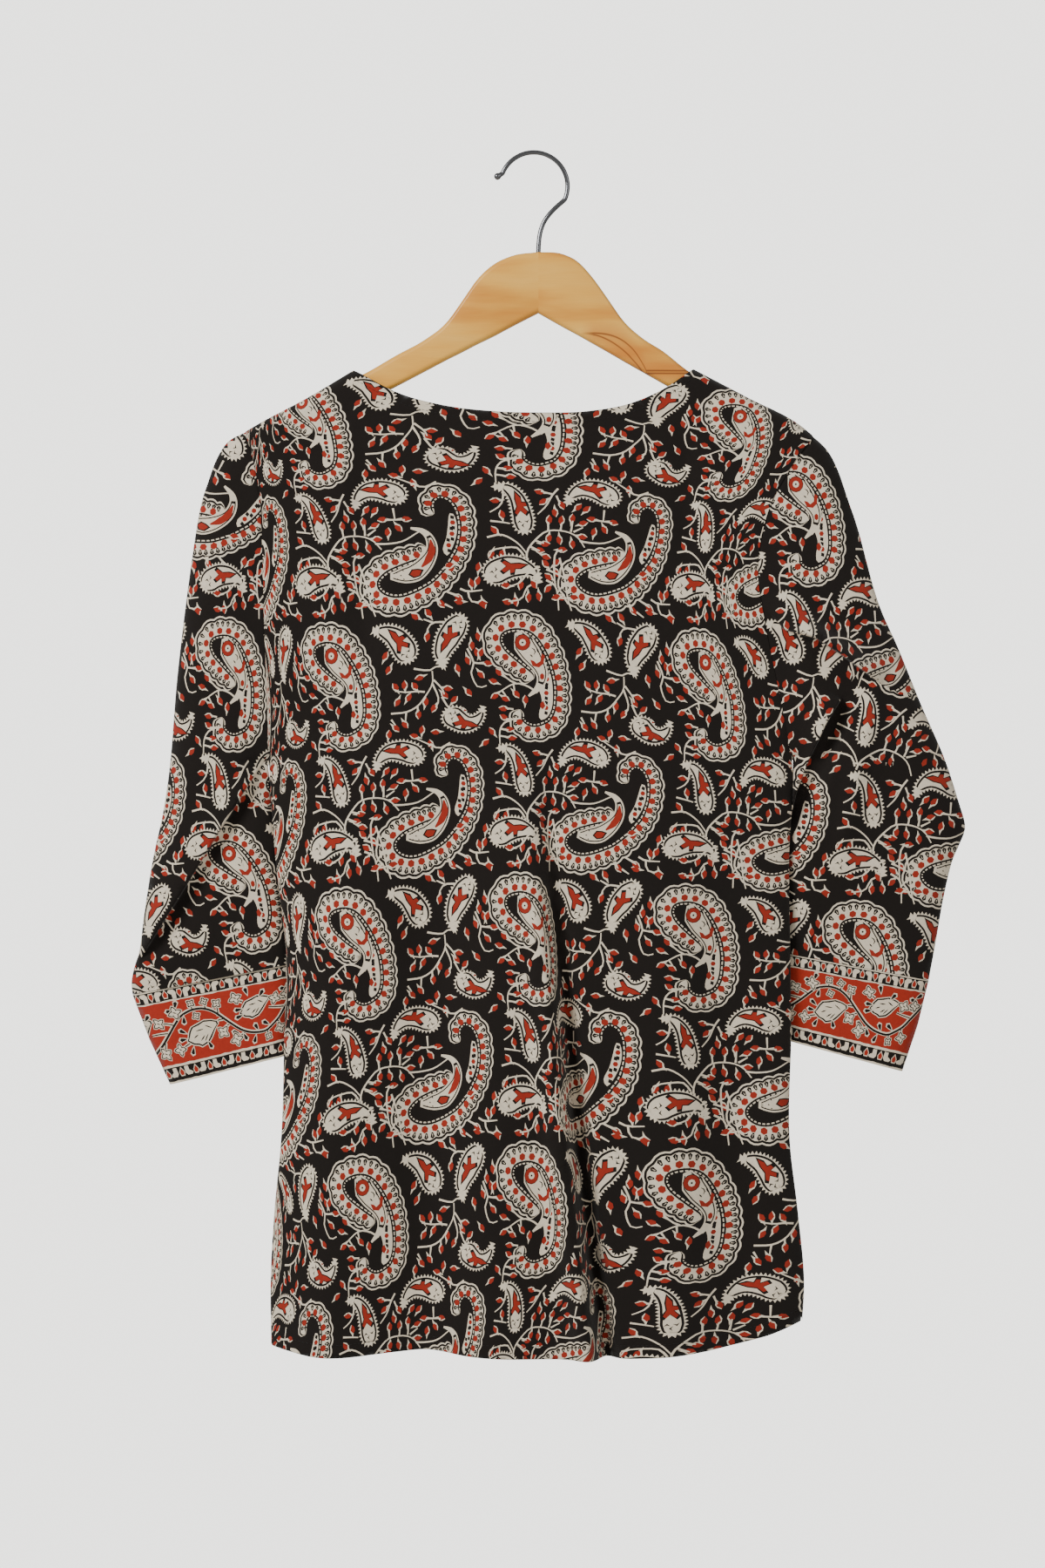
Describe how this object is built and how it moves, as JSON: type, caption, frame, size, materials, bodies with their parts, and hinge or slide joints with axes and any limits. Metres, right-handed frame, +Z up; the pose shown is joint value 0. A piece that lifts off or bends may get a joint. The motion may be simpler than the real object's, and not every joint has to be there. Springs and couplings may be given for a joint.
{
  "type": "kurta tunic on a wooden hanger",
  "caption": "Short block-printed cotton kurta tunic with three-quarter sleeves and border-print cuffs, hanging on a flat wooden hanger with a wire hook.",
  "frame": {"origin": "the inside top of the hook's bend, where the hanger hangs on a rail, pin or thread", "axes": "+Z up along the hanging garment; the garment's back faces -Y and its front +Y; +X is towards the wearer's right sleeve"},
  "size_m": [0.644, 0.0701, 0.9269],
  "materials": {
    "printed_cotton": "matt plain-weave cotton, hand block printed in black, madder red and ecru",
    "border_cotton": "the same cotton, printed with a red border",
    "varnished_wood": "clear satin varnish on pale wood",
    "hook_wire": "polished plated steel wire"
  },
  "bodies": {
    "root": {"back": "printed_cotton", "front": "printed_cotton", "sleeve_left": "printed_cotton", "sleeve_right": "printed_cotton", "cuff_band_left": "border_cotton", "cuff_band_right": "border_cotton", "hanger_left": "varnished_wood", "hanger_right": "varnished_wood", "hook": "hook_wire"}
  },
  "joints": []
}
